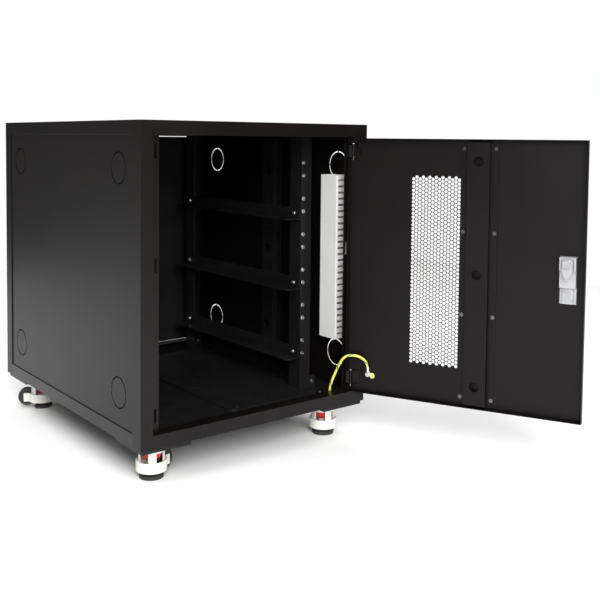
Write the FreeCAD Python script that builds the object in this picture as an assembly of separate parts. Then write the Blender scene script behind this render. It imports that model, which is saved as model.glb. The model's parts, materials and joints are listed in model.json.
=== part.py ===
"""Floor-standing 19-inch server rack cabinet on levelling casters.

Frame: origin on the floor under the middle of the cabinet, +X to the right of
someone facing the front, +Y from the front to the rear, +Z up. Millimetres.
The front door is built closed and then swung open to its rest angle.
"""
import FreeCAD, Part

import math
import os

from FreeCAD import Vector

os.makedirs("parts", exist_ok=True)

# ---------------------------------------------------------------- driving dimensions
cabinet_width = 600.0
cabinet_depth = 750.0
cabinet_height = 750.0

frame_sheet = 2.0
stile_width = 28.0
header_height = 30.0
front_sill_height = 28.0
rear_sill_height = 18.0
side_border_height = 28.0
frame_depth = 35.0
stop_sheet = 1.5
stop_width = 24.0
front_reveal_depth = 20.0
rear_reveal_depth = 24.0

panel_sheet = 1.2
panel_lap = 12.0
knockout_inset_y = 100.0
knockout_inset_z = 98.0
knockout_radius = 34.0
knockout_slit = 3.0
knockout_bridge = 2.5

stiffener_crown = 50.0
stiffener_flange = 17.0
stiffener_depth = 14.0
stiffener_end_gap = 40.0
stiffener_hole_radius = 11.0
stiffener_hole_pitch = 209.0

floor_step_left = -15.0
floor_step_right = 215.0
floor_step_reach = 272.0
floor_step_height = 4.0
floor_step_corner = 22.0
floor_hole_radius = 4.0
floor_hole_inset = 14.0
corner_foot_side = 115.0
corner_foot_height = 9.0
corner_foot_inset = 5.0

rail_hole_spacing = 465.1
rack_opening = 450.0
post_flange = 32.0
post_web = 45.0
post_sheet = 2.0
front_post_setback = 155.0
rear_post_setback = 42.0
post_ear_width = 17.0
post_ear_height = 29.0
ear_bolt_radius = 3.0
ear_bolt_height = 17.0
tab_inset = 1.0

rack_unit = 44.45
insert_pair_spacing = 31.75
insert_pairs = 6
insert_top_drop = 94.0
insert_body_radius = 4.0
insert_bore_radius = 2.5
insert_flange_radius = 5.0
insert_flange_height = 0.8
insert_length = 9.0

shelf_rail_sheet = 1.6
shelf_rail_leg = 30.0
shelf_rail_lip = 38.0
shelf_rail_corner = 12.0
shelf_rail_end_gap = 5.0
shelf_rail_pitch = 175.0
shelf_rail_count = 3
lowest_rail_height = 94.0
rail_screw_setback = 26.0
rail_screw_radius = 2.5
screw_clearance = 0.1
screw_head_radius = 5.2
screw_head_height = 3.2

duct_length = 400.0
duct_width = 54.0
duct_height = 40.0
duct_wall = 1.5
duct_setback = 61.0
duct_bottom = 142.5
duct_slot_pitch = 15.0
duct_slot_count = 26
duct_slot_width = 5.0
duct_slot_near = 8.5
duct_slot_far = 32.0
duct_lid_lip = 7.0
duct_rivet_spacing = 256.0
duct_rivet_radius = 3.0
duct_rivet_head = 9.0

door_gap = 2.0
door_sheet = 1.2
door_pan_depth = 17.0
door_open_angle = 116.0
hinge_from_opening = 10.0
hinge_from_face = 5.0
hinge_from_middle = 270.0
hinge_pin_radius = 2.0
hinge_running_clearance = 0.05
hinge_barrel_radius = 3.4
hinge_barrel_height = 28.0
hinge_ear_thickness = 3.0
hinge_ear_gap = 0.4
hinge_neck_offset = 6.4
hinge_neck_sheet = 2.4
hinge_notch_margin = 5.0
hinge_slot_margin = 1.5
hinge_foot_width = 14.0
hinge_leaf_inner = 12.0
hinge_leaf_outer = 30.0
hinge_screw_inset = 22.0
hinge_screw_spacing = 31.0
strike_slot_height = 30.0

perforation_columns = 15
perforation_rows = 49
perforation_pitch = 8.8
perforation_flats = 7.4
perforation_centre = 210.0

door_hat_centre = 309.0
door_hat_flange = 17.0
door_hat_end_gap = 7.0
door_hat_depth = 13.0
door_hat_hole_pitch = 252.0
door_rivet_rows = 4
door_rivet_row_pitch = 187.0
door_rivet_radius = 2.0
door_rivet_head = 4.2

lock_inset = 36.0
lock_above_middle = 39.0
lock_plate_width = 42.0
lock_plate_height = 180.0
lock_plate_sheet = 3.0
lock_plate_top = 25.0
lock_window_width = 35.0
lock_block_width = 34.0
lock_block_above = 14.0
lock_block_below = 52.0
lock_block_depth = 17.5
lock_cheek = 4.0
lock_cheek_below = 14.0
lock_tongue_width = 22.0
lock_tongue_below = 87.0
lock_tongue_depth = 7.0
spindle_radius = 6.0
spindle_hub_radius = 9.0
spindle_hub_length = 10.0
spindle_clearance = 0.05
spindle_nut_radius = 8.5
spindle_nut_height = 3.5
cam_sheet = 3.0
cam_setback = 22.5
cam_length = 34.0
cam_root_width = 22.0
cam_tip_width = 6.0
cam_shoulder = 18.0
handle_pin_radius = 1.5
handle_pin_offset = 6.0
handle_ear = 2.2
handle_ear_gap = 0.4
handle_width = 23.0
handle_length = 130.0
handle_thickness = 11.0
handle_lift = 2.0
handle_neck = 13.0

ground_stud_radius = 3.0
ground_stud_height = 12.0
ground_stud_x = 232.0
ground_stud_setback = 83.0
ground_stud_heading = -98.0
door_stud_inset = 52.0
door_stud_height = 43.0
ground_nut_flats = 10.0
ground_nut_height = 4.5
lug_sheet = 1.2
lug_radius = 5.8
lug_barrel_radius = 4.2
lug_barrel_start = 7.0
lug_barrel_length = 10.0
lug_wire_start = 10.0
wire_radius = 3.0

caster_height = 77.0
caster_inset_x = 65.0
caster_inset_y = 74.0
caster_plate_side = 73.0
caster_plate_sheet = 5.0
caster_bolt_spacing = 58.0
caster_bolt_radius = 3.0
caster_bolt_head_radius = 5.0
caster_bolt_head_height = 4.0
caster_boss_radius = 14.0
caster_boss_height = 2.7
king_pin_radius = 5.0
king_pin_head_radius = 9.0
king_pin_head_bottom = 60.0
king_pin_head_height = 3.0
swivel_clearance = 0.06
cage_top = 69.0
cage_roof = 3.0
cage_radius = 28.0
cage_wall = 4.0
cage_pillars = 4
cage_pillar_angle = 36.0
thrust_disc_bottom = 56.3
thrust_disc_sheet = 2.5
caster_ring_radius = 33.0
caster_ring_wall = 3.5
caster_ring_bottom = 16.0
caster_ring_top = 38.0
caster_deck_bottom = 20.0
caster_deck_sheet = 3.5
pillar_foot_radius = 31.0
collar_radius = 11.0
collar_top = 37.6
stem_radius = 5.5
stem_clearance = 0.05
stem_hole_radius = 6.6
stem_top = 48.0
adjuster_radius = 19.5
adjuster_bottom = 44.0
adjuster_height = 12.0
adjuster_hub_radius = 13.0
adjuster_hub_height = 6.0
adjuster_notches = 16
adjuster_notch_radius = 1.6
pad_radius = 26.0
pad_height = 8.0
pad_cup_radius = 18.0
pad_cup_height = 3.0
pad_flat = 14.5
wheel_radius = 23.0
wheel_width = 16.0
wheel_trail = 37.0
wheel_ground_gap = 5.0
wheel_side_gap = 1.3
axle_radius = 3.0
axle_clearance = 0.06
fork_sheet = 3.0

caster_sites = {
    "front_left": (-1, -1, 20.0),
    "front_right": (1, -1, 35.0),
    "rear_left": (-1, 1, 150.0),
    "rear_right": (1, 1, 100.0),
}

# ---------------------------------------------------------------- places worked out from them
half_width = cabinet_width / 2
front = -cabinet_depth / 2
rear = cabinet_depth / 2
top = cabinet_height
bottom = caster_height + corner_foot_height
opening_half = half_width - stile_width
opening_top = top - header_height
front_opening_bottom = bottom + front_sill_height
side_inner = half_width - frame_sheet
wall_inner = side_inner - panel_sheet
post_inner = rack_opening / 2
front_post_face = front + front_post_setback
rear_post_face = rear - rear_post_setback
ear_bolt_x = post_inner + post_flange + post_ear_width / 2
rail_heights = [bottom + lowest_rail_height + i * shelf_rail_pitch for i in range(shelf_rail_count)]

door_half = opening_half - door_gap
door_bottom = front_opening_bottom + door_gap
door_top = opening_top - door_gap
door_middle = (door_bottom + door_top) / 2
hinge_x = opening_half - hinge_from_opening
hinge_y = front + hinge_from_face
hinge_heights = {"upper": door_middle + hinge_from_middle, "lower": door_middle - hinge_from_middle}
lock_x = -door_half + lock_inset
lock_z = door_middle + lock_above_middle

parts = {}


# ---------------------------------------------------------------- small helpers
def block(x0, x1, y0, y1, z0, z1):
    """Rectangular block between two opposite corners."""
    low = Vector(min(x0, x1), min(y0, y1), min(z0, z1))
    return Part.makeBox(abs(x1 - x0), abs(y1 - y0), abs(z1 - z0), low)


def rod(x, y, z, radius, length, direction=Vector(0, 0, 1)):
    """Round bar from a start point along a direction."""
    return Part.makeCylinder(radius, length, Vector(x, y, z), direction)


def ring(x, y, z, outer, inner, length, direction=Vector(0, 0, 1)):
    """Plain tube from a start point along a direction."""
    return rod(x, y, z, outer, length, direction).cut(rod(x, y, z, inner, length, direction))


def joined(shapes):
    """One solid from pieces that touch or overlap."""
    whole = shapes[0]
    if len(shapes) > 1:
        whole = whole.multiFuse(shapes[1:])
    return whole.removeSplitter()


def without(shape, cutters):
    """A shape with cutters taken out of it."""
    return shape.cut(Part.makeCompound(cutters)) if cutters else shape


def mirrored_x(shape):
    return shape.mirror(Vector(0, 0, 0), Vector(1, 0, 0))


def mirrored_y(shape):
    return shape.mirror(Vector(0, 0, 0), Vector(0, 1, 0))


def prism(points, direction):
    """Straight prism on a flat polygon."""
    face = Part.Face(Part.makePolygon(points + points[:1]))
    return face.extrude(direction)


def rounded_slab(x0, x1, y0, y1, z0, z1, radius):
    """Slab whose four upright corners are rounded."""
    slab = block(x0, x1, y0, y1, z0, z1)
    upright = [e for e in slab.Edges if abs(e.tangentAt(e.FirstParameter).z) > 0.99]
    return slab.makeFillet(radius, upright)


def hexagon(x, y, z, flats, height):
    """Hexagonal bar standing on a point."""
    corner = flats / math.sqrt(3)
    angles = [math.radians(60 * i) for i in range(6)]
    points = [Vector(x + corner * math.cos(a), y + corner * math.sin(a), z) for a in angles]
    return prism(points, Vector(0, 0, height))


def opened(shape):
    """Door piece swung from closed to its rest angle."""
    swung = shape.copy()
    swung.rotate(Vector(hinge_x, hinge_y, 0), Vector(0, 0, 1), door_open_angle)
    return swung


# ---------------------------------------------------------------- welded frames
def frame_ring(sill_height, reveal_depth):
    """Front-facing welded ring of two stiles, a header and a sill."""
    inner = opening_half
    stop_front = front + reveal_depth
    sill_top = bottom + sill_height
    side = [
        block(inner, half_width, front, front + frame_sheet, bottom, top),
        block(side_inner, half_width, front, front + frame_depth, bottom, top),
        block(inner, inner + frame_sheet, front, stop_front + stop_sheet, bottom + frame_sheet, top - frame_sheet),
        block(inner - stop_width, inner + frame_sheet, stop_front, stop_front + stop_sheet, sill_top, opening_top),
    ]
    pieces = side + [mirrored_x(piece) for piece in side]
    pieces += [
        block(-half_width, half_width, front, front + frame_sheet, opening_top, top),
        block(-wall_inner, wall_inner, front, front + frame_depth, opening_top, opening_top + frame_sheet),
        block(-half_width, half_width, front, front + frame_sheet, bottom, sill_top),
        block(-wall_inner, wall_inner, front, front + frame_depth, sill_top - frame_sheet, sill_top),
    ]
    return joined(pieces)


def stop_slots():
    """Hinge slots on both stops, so the door can hang on either side, and strike slots."""
    neck_x = hinge_x - hinge_neck_offset
    half_slot = hinge_neck_sheet / 2 + hinge_slot_margin
    slots = []
    heights = [(z, hinge_barrel_height + 2 * hinge_slot_margin) for z in hinge_heights.values()]
    heights.append((lock_z, strike_slot_height))
    for z, tall in heights:
        slot = block(neck_x - half_slot, neck_x + half_slot, front + front_reveal_depth - 1,
                     front + front_reveal_depth + stop_sheet + 1, z - tall / 2, z + tall / 2)
        slots += [slot, mirrored_x(slot)]
    return slots


parts["front_frame"] = without(frame_ring(front_sill_height, front_reveal_depth), stop_slots())

rear_panel_screws = [(x, z) for x in (-opening_half + 12, opening_half - 12) for z in (bottom + 90, top - 90)]
rear_stop_holes = [rod(x, rear - rear_reveal_depth - stop_sheet - 1, z, rail_screw_radius, 5, Vector(0, 1, 0))
                   for x, z in rear_panel_screws]
parts["rear_frame"] = without(mirrored_y(frame_ring(rear_sill_height, rear_reveal_depth)), rear_stop_holes)


# ---------------------------------------------------------------- base, top and side panels
def post_tab(face_y, inward, z0, z1):
    """Welded tab behind a post's ear, on the right-hand side."""
    near = face_y + inward * post_sheet
    tab = block(post_inner + post_flange + 2 * tab_inset, wall_inner - 20, near, near + inward * post_sheet, z0, z1)
    return tab


def post_tabs(z0, z1, bolt_z):
    """Four tabs with their bolt holes."""
    tabs = []
    for face_y, inward in ((front_post_face, 1), (rear_post_face, -1)):
        tab = post_tab(face_y, inward, z0, z1)
        hole = rod(ear_bolt_x, face_y - 10, bolt_z, ear_bolt_radius + screw_clearance, 20, Vector(0, 1, 0))
        tab = tab.cut(hole)
        tabs += [tab, mirrored_x(tab)]
    return tabs


def caster_centres():
    for side_x, side_y, _ in caster_sites.values():
        yield side_x * (half_width - caster_inset_x), side_y * (rear - caster_inset_y)


def caster_bolts():
    for x, y in caster_centres():
        for dx in (-caster_bolt_spacing / 2, caster_bolt_spacing / 2):
            for dy in (-caster_bolt_spacing / 2, caster_bolt_spacing / 2):
                yield x + dx, y + dy


def base_pan():
    """Floor sheet with a raised step, side flanges, post tabs and packing feet under the corners."""
    step = (floor_step_left, floor_step_right, -floor_step_reach, floor_step_reach)
    inset = (step[0] + frame_sheet, step[1] - frame_sheet, step[2] + frame_sheet, step[3] - frame_sheet)
    step_top = bottom + floor_step_height + frame_sheet
    floor = block(-side_inner, side_inner, front + frame_sheet, rear - frame_sheet, bottom, bottom + frame_sheet)
    hollow = rounded_slab(*inset, bottom - 1, bottom + floor_step_height, floor_step_corner - frame_sheet)
    raised = rounded_slab(*step, bottom, step_top, floor_step_corner)
    flange = block(side_inner, half_width, front + frame_depth, rear - frame_depth, bottom, bottom + side_border_height)
    foot_x = half_width - corner_foot_inset
    foot_y = rear - corner_foot_inset
    feet = []
    for sx in (-1, 1):
        for sy in (-1, 1):
            feet.append(block(sx * foot_x, sx * (foot_x - corner_foot_side), sy * foot_y,
                              sy * (foot_y - corner_foot_side), bottom - corner_foot_height, bottom))
    tab_top = bottom + frame_sheet + post_ear_height
    tabs = post_tabs(bottom + frame_sheet / 2, tab_top, bottom + ear_bolt_height)
    pan = joined([floor, flange, mirrored_x(flange)] + feet)
    pan = joined([pan.cut(hollow), raised.cut(hollow)] + tabs)
    holes = [rod(step[0] + 2 * floor_hole_inset, y, bottom - 1, floor_hole_radius, 10)
             for y in (step[2] + floor_hole_inset, step[2] + 15 * floor_hole_inset)]
    holes += [rod(x, y, bottom - corner_foot_height - 1, caster_bolt_radius + screw_clearance, 9)
              for x, y in caster_bolts()]
    return without(pan, holes)


def top_cover():
    """Roof sheet with side flanges turned down and tabs for the posts."""
    sheet = block(-side_inner, side_inner, front + frame_sheet, rear - frame_sheet, top - frame_sheet, top)
    flange = block(side_inner, half_width, front + frame_depth, rear - frame_depth, opening_top, top)
    tab_bottom = top - frame_sheet - post_ear_height
    tabs = post_tabs(tab_bottom, top - frame_sheet / 2, top - ear_bolt_height)
    return joined([sheet, flange, mirrored_x(flange)] + tabs)


def knockout(y, z):
    """Round slit broken by four bridges, through the right-hand panel."""
    slit = ring(wall_inner - 1, y, z, knockout_radius, knockout_radius - knockout_slit, 4, Vector(1, 0, 0))
    reach = knockout_radius + 2
    half = knockout_bridge / 2
    bars = [
        block(wall_inner - 2, side_inner + 2, y - reach, y + reach, z - half, z + half),
        block(wall_inner - 2, side_inner + 2, y - half, y + half, z - reach, z + reach),
    ]
    return slit.cut(joined(bars))


def side_panel():
    """Flat panel behind the side opening, with four round knock-outs."""
    low = bottom + side_border_height - panel_lap
    high = opening_top + panel_lap
    sheet = block(wall_inner, side_inner, front + frame_depth - panel_lap, rear - frame_depth + panel_lap, low, high)
    slits = []
    for y in (front + knockout_inset_y, rear - knockout_inset_y):
        for z in (bottom + knockout_inset_z, top - knockout_inset_z):
            slits.append(knockout(y, z))
    return without(sheet, slits)


def hat_channel(crown, flange, depth, sheet, length):
    """Hat section along +Z: flanges on the plane x = 0, crown towards -X, centred on y = 0."""
    half = crown / 2
    return joined([
        block(-sheet, 0, -half - flange, -half + sheet, 0, length),
        block(-sheet, 0, half - sheet, half + flange, 0, length),
        block(-depth, 0, -half, -half + sheet, 0, length),
        block(-depth, 0, half - sheet, half, 0, length),
        block(-depth, -depth + sheet, -half, half, 0, length),
    ])


def panel_stiffener():
    low = bottom + stiffener_end_gap
    high = top - stiffener_end_gap
    hat = hat_channel(stiffener_crown, stiffener_flange, stiffener_depth, panel_sheet, high - low)
    middle = (high - low) / 2
    holes = [rod(-stiffener_depth - 1, 0, middle + i * stiffener_hole_pitch, stiffener_hole_radius,
                 panel_sheet + 2, Vector(1, 0, 0)) for i in (-1, 0, 1)]
    hat = without(hat, holes)
    hat.translate(Vector(wall_inner, 0, low))
    return hat


duct_middle_y = front + duct_setback + duct_width / 2
duct_middle_z = bottom + duct_bottom + duct_length / 2
duct_rivet_heights = [duct_middle_z - duct_rivet_spacing / 2, duct_middle_z + duct_rivet_spacing / 2]
duct_rivet_holes = [rod(wall_inner - duct_wall - 1, duct_middle_y, z, duct_rivet_radius + screw_clearance, 6,
                        Vector(1, 0, 0)) for z in duct_rivet_heights]

parts["base_pan"] = base_pan()
parts["top_cover"] = top_cover()
parts["right_side_panel"] = without(side_panel(), duct_rivet_holes)
parts["left_side_panel"] = mirrored_x(side_panel())
parts["right_panel_stiffener"] = panel_stiffener()
parts["left_panel_stiffener"] = mirrored_x(panel_stiffener())


# ---------------------------------------------------------------- rack posts, shelf rails and their screws
def insert_heights():
    first = top - insert_top_drop
    for pair in range(insert_pairs):
        z = first - pair * 2 * rack_unit
        yield z
        yield z - insert_pair_spacing


def rack_post():
    """Front right post: holed flange facing forward, web along the bay, an ear at each end."""
    face = front_post_face
    low = bottom + frame_sheet
    high = top - frame_sheet
    outer = post_inner + post_flange
    post = joined([
        block(post_inner, outer, face, face + post_sheet, low, high),
        block(post_inner, post_inner + post_sheet, face, face + post_web, low, high),
        block(outer - post_sheet, outer + post_ear_width, face, face + post_sheet, low, low + post_ear_height),
        block(outer - post_sheet, outer + post_ear_width, face, face + post_sheet, high - post_ear_height, high),
    ])
    holes = [rod(rail_hole_spacing / 2, face - 1, z, insert_body_radius, 4, Vector(0, 1, 0))
             for z in insert_heights()]
    holes += [rod(ear_bolt_x, face - 1, z, ear_bolt_radius, 4, Vector(0, 1, 0))
              for z in (bottom + ear_bolt_height, top - ear_bolt_height)]
    holes += [rod(post_inner - 1, face + rail_screw_setback, z, rail_screw_radius, 4, Vector(1, 0, 0))
              for z in rail_heights]
    return without(post, holes)


def rear_version(shape):
    """A front post or its insert turned to face the rear."""
    turned = mirrored_y(shape)
    turned.translate(Vector(0, front_post_face + rear_post_face, 0))
    return turned


front_right_post = rack_post()
rear_right_post = rear_version(front_right_post)
parts["rack_post_front_right"] = front_right_post
parts["rack_post_front_left"] = mirrored_x(front_right_post)
parts["rack_post_rear_right"] = rear_right_post
parts["rack_post_rear_left"] = mirrored_x(rear_right_post)


def shelf_rail(z):
    """Right-hand angle between the posts; its lip carries the edge of a shelf or chassis."""
    y0 = front_post_face + shelf_rail_end_gap
    y1 = rear_post_face - shelf_rail_end_gap
    low = z - shelf_rail_leg / 2
    leg = block(post_inner - shelf_rail_sheet, post_inner, y0, y1, low, low + shelf_rail_leg)
    lip = rounded_slab(post_inner - shelf_rail_lip, post_inner + shelf_rail_corner, y0, y1, low,
                       low + shelf_rail_sheet, shelf_rail_corner)
    lip = lip.common(block(post_inner - shelf_rail_lip, post_inner, y0, y1, low, low + shelf_rail_sheet))
    holes = [rod(post_inner - 5, y, z, rail_screw_radius, 10, Vector(1, 0, 0))
             for y in (front_post_face + rail_screw_setback, rear_post_face - rail_screw_setback)]
    return without(joined([leg, lip]), holes)


for level, rail_z in zip(("lower", "middle", "upper"), rail_heights):
    rail = shelf_rail(rail_z)
    parts["shelf_rail_" + level + "_right"] = rail
    parts["shelf_rail_" + level + "_left"] = mirrored_x(rail)


def thread_insert(z):
    """Rivet nut in a post's flange, with a plain bore at the thread's inner size."""
    x = rail_hole_spacing / 2
    flange = rod(x, front_post_face - insert_flange_height, z, insert_flange_radius, insert_flange_height,
                 Vector(0, 1, 0))
    body = rod(x, front_post_face, z, insert_body_radius, insert_length, Vector(0, 1, 0))
    bore = rod(x, front_post_face - insert_flange_height - 1, z, insert_bore_radius, insert_length + 3,
               Vector(0, 1, 0))
    return joined([flange, body]).cut(bore)


inserts = [thread_insert(z) for z in insert_heights()]
inserts += [rear_version(insert) for insert in inserts]
inserts += [mirrored_x(insert) for insert in inserts]
parts["rail_thread_inserts"] = Part.makeCompound(inserts)


def screw(x, y, z, direction, radius, length, head_radius, head_height):
    """Round-headed screw: the head stands back from the start point, the shank runs on from it."""
    back = Vector(direction).multiply(-head_height)
    head = rod(x + back.x, y + back.y, z + back.z, head_radius, head_height, direction)
    dome = [edge for edge in head.Edges if edge.BoundBox.DiagonalLength > 0
            and (edge.CenterOfMass - Vector(x, y, z)).dot(direction) < -0.9 * head_height]
    head = head.makeFillet(head_height * 0.45, dome)
    return joined([head, rod(x, y, z, radius, length, direction)])


frame_screws = []
for rail_z in rail_heights:
    for y in (front_post_face + rail_screw_setback, rear_post_face - rail_screw_setback):
        frame_screws.append(screw(post_inner - shelf_rail_sheet, y, rail_z, Vector(1, 0, 0), rail_screw_radius,
                                  7, screw_head_radius, screw_head_height))
for z in (bottom + ear_bolt_height, top - ear_bolt_height):
    for y, inward in ((front_post_face, 1), (rear_post_face, -1)):
        frame_screws.append(screw(ear_bolt_x, y, z, Vector(0, inward, 0), ear_bolt_radius, 8,
                                  screw_head_radius, screw_head_height))
frame_screws += [mirrored_x(item) for item in frame_screws]

rear_panel_outer = rear - 4.0
rear_panel_screw_length = rear_reveal_depth + stop_sheet - (rear - rear_panel_outer) + 3
for x, z in rear_panel_screws:
    frame_screws.append(screw(x, rear_panel_outer, z, Vector(0, -1, 0), rail_screw_radius,
                              rear_panel_screw_length, screw_head_radius, 2.8))
for x, y in caster_bolts():
    frame_screws.append(screw(x, y, caster_height - caster_plate_sheet, Vector(0, 0, 1), caster_bolt_radius,
                              caster_plate_sheet + corner_foot_height - 3, caster_bolt_head_radius,
                              caster_bolt_head_height))
parts["frame_screws"] = Part.makeCompound(frame_screws)


# ---------------------------------------------------------------- rear panel
def rear_panel():
    """Shallow pan that closes the back, with an air gap over the sill."""
    low = bottom + rear_sill_height + 3 * door_gap
    outer = rear_panel_outer
    pan = block(-door_half, door_half, outer - door_pan_depth, outer, low, door_top)
    inside = block(-door_half + door_sheet, door_half - door_sheet, outer - door_pan_depth - 1,
                   outer - door_sheet, low + door_sheet, door_top - door_sheet)
    holes = [rod(x, outer - door_pan_depth - 2, z, rail_screw_radius, door_pan_depth + 4, Vector(0, 1, 0))
             for x, z in rear_panel_screws]
    return without(pan.cut(inside), holes)


parts["rear_panel"] = rear_panel()


# ---------------------------------------------------------------- wiring duct on the right-hand wall
def wiring_duct():
    """Trough open towards the bay, with cable slots through both sides."""
    y0 = front + duct_setback
    y1 = y0 + duct_width
    z0 = bottom + duct_bottom
    z1 = z0 + duct_length
    x_open = wall_inner - duct_height + duct_wall + 0.3
    trough = block(x_open, wall_inner, y0, y1, z0, z1)
    inside = block(x_open - 1, wall_inner - duct_wall, y0 + duct_wall, y1 - duct_wall, z0 - 1, z1 + 1)
    lid_face = wall_inner - duct_height
    first = duct_middle_z - (duct_slot_count - 1) * duct_slot_pitch / 2
    slots = []
    for i in range(duct_slot_count):
        z = first + i * duct_slot_pitch
        slots.append(block(lid_face + duct_slot_near, lid_face + duct_slot_far, y0 - 1, y1 + 1,
                           z - duct_slot_width / 2, z + duct_slot_width / 2))
    return without(trough.cut(inside), slots + duct_rivet_holes)


def wiring_duct_cover():
    """Snap-on lid with two short lips over the trough's sides."""
    y0 = front + duct_setback - duct_wall - 0.2
    y1 = y0 + duct_width + 2 * duct_wall + 0.4
    z0 = bottom + duct_bottom
    z1 = z0 + duct_length
    lid_face = wall_inner - duct_height
    lid = block(lid_face, lid_face + duct_lid_lip, y0, y1, z0, z1)
    inside = block(lid_face + duct_wall, lid_face + duct_lid_lip + 1, y0 + duct_wall, y1 - duct_wall, z0 - 1, z1 + 1)
    return lid.cut(inside)


parts["wiring_duct"] = wiring_duct()
parts["wiring_duct_cover"] = wiring_duct_cover()
parts["duct_rivets"] = Part.makeCompound([
    screw(wall_inner - duct_wall, duct_middle_y, z, Vector(1, 0, 0), duct_rivet_radius, duct_wall + panel_sheet,
          duct_rivet_head, 4.0)
    for z in duct_rivet_heights
])


# ---------------------------------------------------------------- front door, modelled closed
def hex_perforations():
    """Staggered hexagonal holes through the door skin."""
    column_pitch = perforation_pitch * math.sin(math.radians(60))
    corner = perforation_flats / math.sqrt(3)
    first_x = door_half - perforation_centre - (perforation_columns - 1) * column_pitch / 2
    first_z = door_middle - (perforation_rows - 1) * perforation_pitch / 2
    wires = []
    for column in range(perforation_columns):
        shift = perforation_pitch / 2 if column % 2 else 0
        for row in range(perforation_rows):
            x = first_x + column * column_pitch
            z = first_z + row * perforation_pitch + shift - perforation_pitch / 4
            angles = [math.radians(60 * i) for i in range(6)]
            points = [Vector(x + corner * math.cos(a), front, z + corner * math.sin(a)) for a in angles]
            wires.append(Part.makePolygon(points + points[:1]))
    return wires


def front_door_panel():
    """Skin with a perforated vent strip and four flanges turned back."""
    z0 = door_bottom
    z1 = door_top
    outline = [Vector(-door_half, front, z0), Vector(door_half, front, z0),
               Vector(door_half, front, z1), Vector(-door_half, front, z1)]
    face = Part.Face([Part.makePolygon(outline + outline[:1])] + hex_perforations())
    face.validate()
    skin = face.extrude(Vector(0, door_sheet, 0))
    back = front + door_pan_depth
    rim = block(-door_half, door_half, front, back, z0, z1).cut(
        block(-door_half + door_sheet, door_half - door_sheet, front - 1, back + 1, z0 + door_sheet, z1 - door_sheet))
    cutters = []
    for z in hinge_heights.values():
        half = hinge_barrel_height / 2 + hinge_notch_margin
        cutters.append(block(door_half - door_sheet - 1, door_half + 1, front + door_sheet, back + 1, z - half, z + half))
    window_half = lock_window_width / 2
    cutters.append(block(lock_x - window_half, lock_x + window_half, front - 1, front + 5,
                         lock_z - lock_tongue_below - 1, lock_z + lock_block_above + 1))
    cutters.append(rod(door_half - door_stud_inset, front - 1, door_bottom + door_stud_height, ground_stud_radius, 4,
                       Vector(0, 1, 0)))
    cutters += [rod(x, front - 1, z, door_rivet_radius, 4, Vector(0, 1, 0)) for x, z in door_rivet_places()]
    return without(skin.fuse(rim), cutters)


def door_rivet_places():
    offset = stiffener_crown / 2 + door_hat_flange * 0.6
    first = door_middle - (door_rivet_rows - 1) * door_rivet_row_pitch / 2
    for i in range(door_rivet_rows):
        for side in (-1, 1):
            yield door_half - door_hat_centre + side * offset, first + i * door_rivet_row_pitch


def door_stiffener():
    """Hat channel riveted up the middle of the door's inner face."""
    low = door_bottom + door_hat_end_gap
    length = door_top - door_hat_end_gap - low
    hat = hat_channel(stiffener_crown, door_hat_flange, door_hat_depth, door_sheet, length)
    holes = [rod(-door_hat_depth - 1, 0, length / 2 + i * door_hat_hole_pitch, stiffener_hole_radius,
                 door_sheet + 2, Vector(1, 0, 0)) for i in (-1, 0, 1)]
    hat = without(hat, holes)
    hat.rotate(Vector(0, 0, 0), Vector(0, 0, 1), -90)
    hat.translate(Vector(door_half - door_hat_centre, front + door_sheet, low))
    rivet_holes = [rod(x, front, z, door_rivet_radius, 5, Vector(0, 1, 0)) for x, z in door_rivet_places()]
    return without(hat, rivet_holes)


def door_rivet(x, z):
    """Blind rivet through the skin and the hat channel's flange."""
    inner = front + 2 * door_sheet
    shank = rod(x, front, z, door_rivet_radius, 2 * door_sheet, Vector(0, 1, 0))
    head = Part.makeCone(door_rivet_head, door_rivet_radius * 0.8, 1.4, Vector(x, inner, z), Vector(0, 1, 0))
    return joined([shank, head])


def hinge_bracket(z):
    """Cabinet half of a hinge: barrel, cranked neck through the stop's slot, and a foot behind it."""
    half = hinge_barrel_height / 2
    low = z - half
    neck_x = hinge_x - hinge_neck_offset
    neck_half = hinge_neck_sheet / 2
    stop_back = front + front_reveal_depth + stop_sheet
    bend_y = hinge_y + hinge_neck_offset * 1.2
    barrel = rod(hinge_x, hinge_y, low, hinge_barrel_radius, hinge_barrel_height)
    lean = Vector(-hinge_neck_offset, bend_y - hinge_y, 0)
    across = Vector(-lean.y, lean.x, 0).normalize().multiply(neck_half)
    start = Vector(hinge_x, hinge_y, low)
    end = start + lean
    crank = prism([start + across, start - across, end - across, end + across], Vector(0, 0, hinge_barrel_height))
    knee = rod(neck_x, bend_y, low, neck_half, hinge_barrel_height)
    neck = block(neck_x - neck_half, neck_x + neck_half, bend_y, stop_back + hinge_neck_sheet, low, z + half)
    foot = block(neck_x - neck_half, neck_x + hinge_foot_width, stop_back, stop_back + hinge_neck_sheet, low, z + half)
    bore = rod(hinge_x, hinge_y, low - 1, hinge_pin_radius + hinge_running_clearance, hinge_barrel_height + 2)
    return joined([barrel, crank, knee, neck, foot]).cut(bore)


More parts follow.
